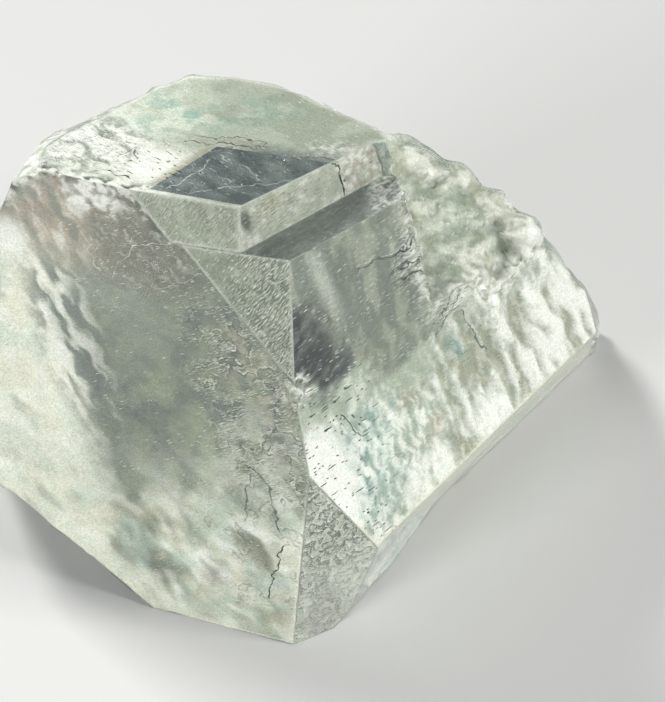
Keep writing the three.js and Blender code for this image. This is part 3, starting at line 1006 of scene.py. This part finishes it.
PAINTERS = {
    "upper_terrace": paint_upper_terrace,
    "lower_terrace": paint_lower_terrace,
    "upper_left_wall": paint_upper_left_wall,
    "upper_right_wall": paint_upper_right_wall,
    "lower_left_wall": paint_lower_left_wall,
    "broad_wall": paint_broad_wall,
    "pitted_facet": paint_pitted_facet,
    "right_undercut": paint_right_undercut,
    "shoulder_wall": paint_frosted,
    **dict.fromkeys(BENT_FACE, paint_left_face),
    **dict.fromkeys(("foot_facet_left", "foot_facet_right", "foot_tip"), paint_foot),
    **dict.fromkeys(("rim_right", "rim_left", "rim_shoulder"), paint_rim),
    **dict.fromkeys(("notch_wall", "notch_floor", "shoulder_ledge"), paint_notch),
}
NUMBERS = (
    "clear", "etch", "outline", "nick", "fine", "rough", "window",
    "dark_line", "dark_share", "light_line", "light_share",
)
FACE_STEP = 37.0          # sets the grain of one face apart from the next
RIDGE_PASSES = 12         # how far the surface is smoothed to find its ridges and hollows

# A point on an edge takes the mean of its faces.
painted = {name: np.zeros(len(points)) for name in NUMBERS}
tone, grain, moves = np.zeros((3, len(points), 3))
shares = np.zeros(len(points))
for z, name in enumerate(NAMES):
    if not (zones == z).any():
        continue
    face = Face(name)
    PAINTERS.get(name, paint_fracture)(face)
    for key in NUMBERS:
        painted[key][face.ids] += getattr(face, key)
    along, across = face.turned(face.grain_turn)
    place = np.stack([along, across, np.zeros_like(along)], 1) * face.grain_scale
    grain[face.ids] += place + FACE_STEP * NAMES.index(HELD_BY.get(name, name))
    tone[face.ids] += face.tone
    moves[face.ids] += np.multiply.outer(face.height, face.normal)
    shares[face.ids] += 1
for values in (tone, grain, moves):
    values /= shares[:, None]
for values in painted.values():
    values /= shares

# Edges are slightly worn, and the ragged border wanders.
worn = on_flat & (away == 0) & (shares > 1)
points[worn] -= point_normals(points, faces)[worn] * EDGE_WEAR
points += moves
wander = np.stack([clouds(points, 0.9, seed, 2) - 0.5 for seed in (81, 82, 83)], 1)
points += RAGGED_DEPTH * wander * ramp(from_ragged, 0.9, 0.0)[:, None]
points[:, 2] = np.maximum(points[:, 2], 0)

# Ridges of the broken surfaces are whitened, partly as crushed stone and partly as a painted rim light, and
# hollows get a painted shade.
smooth = points
for _ in range(RIDGE_PASSES):
    smooth = 0.5 * smooth + 0.5 * neighbour_mean(smooth, pairs)
ridge = ((points - smooth) * point_normals(smooth, faces)).sum(1)
for tint, share in ((WHITE, 0.65 * ramp(ridge, 0.01, 0.11)), (DUSK, 0.45 * ramp(ridge, -0.01, -0.1))):
    share = np.where(on_flat, 0, share)[:, None]
    tone = tone * (1 - share) + np.array(tint) * share

# -------- the crystal's object

mesh = bpy.data.meshes.new("aquamarine")
mesh.from_pydata(((points + shift) * MM).tolist(), [], faces.tolist())
mesh.shade_smooth()
for name, values in {**painted, "edge": away}.items():
    mesh.attributes.new(name, "FLOAT", "POINT").data.foreach_set("value", values.astype(np.float32))
grain_data = mesh.attributes.new("grain", "FLOAT_VECTOR", "POINT").data
grain_data.foreach_set("vector", grain.astype(np.float32).ravel())
tone_data = mesh.attributes.new("tone", "FLOAT_COLOR", "POINT").data
opaque = np.concatenate([tone, np.ones((len(tone), 1))], 1)
tone_data.foreach_set("color", opaque.astype(np.float32).ravel())
crystal = bpy.data.objects.new("aquamarine", mesh)
bpy.context.scene.collection.objects.link(crystal)

# -------- the crystal's material

BERYL_IOR = 1.577
CONTRAST = 1.3
BUMP_DEPTH = 0.00007      # metres
ABSORBED = (0.91, 0.97, 0.88, 1)
ABSORPTION_DENSITY = 16.0

material = bpy.data.materials.new("aquamarine")
material.use_nodes = True
tree = material.node_tree
shader = tree.nodes["Principled BSDF"]
shader.inputs["IOR"].default_value = BERYL_IOR


def put(kind, settings, inputs):
    """A node with its settings, and its inputs by name or number: a value, or another node's output."""
    node = tree.nodes.new(kind)
    for key, value in settings.items():
        setattr(node, key, value)
    for key, value in inputs.items():
        if isinstance(value, bpy.types.NodeSocket):
            tree.links.new(value, node.inputs[key])
        else:
            node.inputs[key].default_value = value
    return node


def attribute(name, output="Fac"):
    return put("ShaderNodeAttribute", {"attribute_name": name}, {}).outputs[output]


def number(operation, *values):
    return put("ShaderNodeMath", {"operation": operation}, dict(enumerate(values))).outputs[0]


def times(a, b, plus=0.0):
    return number("MULTIPLY_ADD", a, b, plus)


def vector(operation, *values):
    return put("ShaderNodeVectorMath", {"operation": operation}, dict(enumerate(values))).outputs[0]


def step(*values):
    """A smooth step of a value between a start and an end, from 0 to 1 or from a low to a high."""
    settings = {"interpolation_type": "SMOOTHSTEP"}
    return put("ShaderNodeMapRange", settings, dict(enumerate(values))).outputs[0]


def stretched(place, size):
    return vector("MULTIPLY", place, tuple(1 / s for s in size))


def soft_noise(place, size, detail=2.0, output="Fac", dimensions="2D"):
    inputs = {"Vector": stretched(place, size), "Scale": 1.0, "Detail": detail}
    return put("ShaderNodeTexNoise", {"noise_dimensions": dimensions}, inputs).outputs[output]


def color_mix(share, a, b):
    settings = {"data_type": "RGBA", "clamp_factor": True}
    return put("ShaderNodeMix", settings, {0: share, 6: a, 7: b}).outputs[2]


def flecks(size, density, seed):
    """Short strokes along the grain: how much of a stroke is here, and on which side of it."""
    moved = vector("ADD", stretched(swaying, size), (seed, 2 * seed, 0))
    inputs = {"Vector": moved, "Scale": 1.0, "Randomness": 1.0}
    cell = put("ShaderNodeTexVoronoi", {"voronoi_dimensions": "2D"}, inputs).outputs
    draw = put("ShaderNodeSeparateColor", {}, {"Color": cell["Color"]}).outputs[0]
    amount = times(step(cell["Distance"], 0.38, 0.24), number("LESS_THAN", draw, density))
    offset = vector("SUBTRACT", moved, cell["Position"])
    across = put("ShaderNodeSeparateXYZ", {}, {"Vector": offset}).outputs[1]
    return amount, times(times(across, 5.0), amount)


def drawn_line(kind, half_width):
    """How much of a drawn line is here; its width varies a little along it."""
    far = number("ADD", attribute(kind + "_line"), step(line_sway, 0.25, 0.75, -0.16, 0.16))
    far = number("SUBTRACT", number("ABSOLUTE", far), step(medium, 0.3, 0.7, -0.025, 0.015))
    return times(step(far, half_width + 0.03, half_width - 0.01), attribute(kind + "_share"))


# Places in millimetres: on the object, and along the grain of each face with a little sway.
place = vector("MULTIPLY", put("ShaderNodeTexCoord", {}, {}).outputs["Object"], (1 / MM,) * 3)
grain_place = attribute("grain", "Vector")
sway = vector("SUBTRACT", soft_noise(grain_place, (1.1, 1.1, 1.0), 1.0, "Color"), (0.5, 0.5, 0.5))
swaying = vector("MULTIPLY_ADD", sway, (0.28, 0.28, 0.0), grain_place)
etch = attribute("etch")
nick = attribute("nick")
outline = attribute("outline")
window = step(attribute("window"), 0.03, -0.03)

# The noises and strokes that the marks are made of.
micro = soft_noise(place, (0.11, 0.11, 0.11), 2.0, "Fac", "3D")
medium = soft_noise(place, (0.5, 0.5, 0.5), 3.0, "Fac", "3D")
line_sway = soft_noise(grain_place, (0.9, 0.9, 1.0))
hair = soft_noise(swaying, (0.6, 0.12, 1.0))
strokes, stroke_side = flecks((0.5, 0.15, 1.0), times(etch, 0.55, 0.06), 3.7)
stroke_share = times(etch, 0.8, 0.18)
long_nicks, _ = flecks((0.95, 0.12, 1.0), 0.045, 11.3)
short_nicks, _ = flecks((0.3, 0.13, 1.0), 0.05, 5.9)
nicks = times(number("MAXIMUM", long_nicks, short_nicks), nick)
glints, _ = flecks((0.45, 0.06, 1.0), times(etch, 0.2), 8.1)
level = number("SUBTRACT", soft_noise(swaying, (1.5, 1.5, 1.0), 3.0), 0.5)
contour = number("DIVIDE", level, times(attribute("fine"), 0.028))
contour_dip = number("EXPONENT", times(times(contour, contour), -1.0))
contour_dip = times(contour_dip, outline)
contour_side = times(contour, contour_dip)
dark_line = drawn_line("dark", 0.03)
light_line = drawn_line("light", 0.022)
# Worn edges turn paler, partly from wear and partly as a painted edge highlight.
worn_edge_and_highlight = times(step(attribute("edge"), 0.12, 0.0), step(hair, 0.3, 0.7, 0.15, 0.85))

# Tone: the face's own, with fine mottling, a painted dark reflection, dashes and outlines given a painted
# lit side and shaded side, painted glints, dark nicks, cracks, and worn edges with a painted edge
# highlight.
# Inside the dark window the tone turns to the slate of a painted reflection of dark surroundings.
dark_reflection_cloud = step(soft_noise(grain_place, (2.6, 1.2, 1.0)), 0.35, 0.7)
dark_reflection_tone = color_mix(dark_reflection_cloud, (0.18, 0.215, 0.22, 1), (0.31, 0.35, 0.345, 1))
color = color_mix(window, attribute("tone", "Color"), dark_reflection_tone)
mottle = times(step(micro, 0.32, 0.68, 0.89, 1.11), step(medium, 0.3, 0.7, 0.86, 1.14))
color = vector("MULTIPLY", color, mottle)
# Painted light and shade of the relief: each dash, hair and outline gets a pale lit side and a dark shaded
# side.
painted_relief_shade = times(stroke_side, stroke_share, times(step(hair, 0.3, 0.7, -0.28, 0.28), etch))
painted_relief_shade = times(contour_side, 2.0, painted_relief_shade)
for share, tint in (
    (times(painted_relief_shade, 1.1), (0.92, 0.95, 0.88, 1)),
    (times(painted_relief_shade, -0.9), (0.09, 0.1, 0.09, 1)),
    (times(glints, 0.8), (0.95, 0.98, 0.93, 1)),
    (nicks, (0.02, 0.025, 0.025, 1)),
    (dark_line, (0.03, 0.035, 0.035, 1)),
    (light_line, (0.9, 0.94, 0.88, 1)),
    (worn_edge_and_highlight, (0.8, 0.86, 0.78, 1)),
):
    color = color_mix(share, color, tint)
color = put("ShaderNodeGamma", {}, {"Color": color, "Gamma": CONTRAST}).outputs[0]

roughness = times(attribute("rough"), 0.6, step(micro, 0.3, 0.7, -0.03, 0.04))
roughness = times(window, -0.14, roughness)
clear = number("ADD", attribute("clear"), step(medium, 0.3, 0.7, 0.08, 0.24))

relief = times(times(hair, 0.6), etch)
relief = times(strokes, stroke_share, relief)
relief = times(contour_dip, 1.4, relief)
relief = times(nicks, -1.2, relief)
relief = times(dark_line, -1.5, number("ADD", relief, light_line))
relief = times(micro, 0.35, relief)
bump = put("ShaderNodeBump", {}, {"Strength": 0.85, "Distance": BUMP_DEPTH, "Height": relief})
absorbing = {"Color": ABSORBED, "Density": ABSORPTION_DENSITY}
absorption = put("ShaderNodeVolumeAbsorption", {}, absorbing)

tree.links.new(color, shader.inputs["Base Color"])
tree.links.new(roughness, shader.inputs["Roughness"])
tree.links.new(clear, shader.inputs["Transmission Weight"])
tree.links.new(bump.outputs[0], shader.inputs["Normal"])
tree.links.new(absorption.outputs[0], tree.nodes["Material Output"].inputs["Volume"])
mesh.materials.append(material)
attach(crystal, "root")
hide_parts("aquamarine_crystal")

# -------- floor, light and camera

FLOOR_REACH = 0.9         # metres from the middle to each side
SOFT_LIGHTS = (           # name, place and width in metres, power in watts, colour
    ("key", (-0.25, 0.22, 0.38), 0.11, 2.6, (1, 1, 0.98)),
    ("side", (0.34, -0.1, 0.22), 0.16, 2.2, (1, 1, 0.98)),
    ("fill", (-0.3, -0.3, 0.2), 0.16, 2.05, (1, 1, 1)),
)
LIT_MIDDLE = Vector((0, 0, 0.014))
WORLD_STRENGTH = 0.22
LIGHT_BOUNCES = 9
CAMERA_ELEVATION = math.radians(50)
CAMERA_DISTANCE = 0.23
CAMERA_LENS = 222.3
TARGET_HEIGHT = 24.556    # millimetres above the solid's own zero


def plain_material(name, color, roughness):
    result = bpy.data.materials.new(name)
    result.use_nodes = True
    node = result.node_tree.nodes["Principled BSDF"]
    node.inputs["Base Color"].default_value = (*color, 1)
    node.inputs["Roughness"].default_value = roughness
    return result


corners = [(x * FLOOR_REACH, y * FLOOR_REACH, 0) for x, y in ((-1, -1), (1, -1), (1, 1), (-1, 1))]
floor_mesh = bpy.data.meshes.new("floor")
floor_mesh.from_pydata(corners, [], [(0, 1, 2, 3)])
floor = bpy.data.objects.new("floor", floor_mesh)
floor_mesh.materials.append(plain_material("floor", (0.405, 0.405, 0.4), 0.6))
bpy.context.scene.collection.objects.link(floor)

for name, spot, width, power, light_color in SOFT_LIGHTS:
    data = bpy.data.lights.new(name, "AREA")
    data.shape = "RECTANGLE"
    data.size, data.size_y = width, width
    data.energy = power
    data.color = light_color
    light = bpy.data.objects.new(name, data)
    bpy.context.scene.collection.objects.link(light)
    light.location = spot
    light.rotation_euler = (LIT_MIDDLE - Vector(spot)).to_track_quat("-Z", "Y").to_euler()

world = bpy.data.worlds.new("studio")
world.use_nodes = True
world.node_tree.nodes["Background"].inputs["Color"].default_value = (0.95, 0.96, 0.96, 1)
world.node_tree.nodes["Background"].inputs["Strength"].default_value = WORLD_STRENGTH
bpy.context.scene.world = world
bpy.context.scene.view_settings.view_transform = "Standard"
bpy.context.scene.cycles.max_bounces = LIGHT_BOUNCES
bpy.context.scene.cycles.transmission_bounces = LIGHT_BOUNCES

target = Vector(((np.array([0, 0, TARGET_HEIGHT]) + shift) * MM).tolist())
camera_data = bpy.data.cameras.new("camera")
camera_data.sensor_fit = "HORIZONTAL"
camera_data.sensor_width = 36
camera_data.lens = CAMERA_LENS
camera = bpy.data.objects.new("camera", camera_data)
bpy.context.scene.collection.objects.link(camera)
away_from_target = Vector((0, -math.cos(CAMERA_ELEVATION), math.sin(CAMERA_ELEVATION)))
camera.location = target + CAMERA_DISTANCE * away_from_target
camera.rotation_euler = (target - camera.location).to_track_quat("-Z", "Y").to_euler()
bpy.context.scene.camera = camera
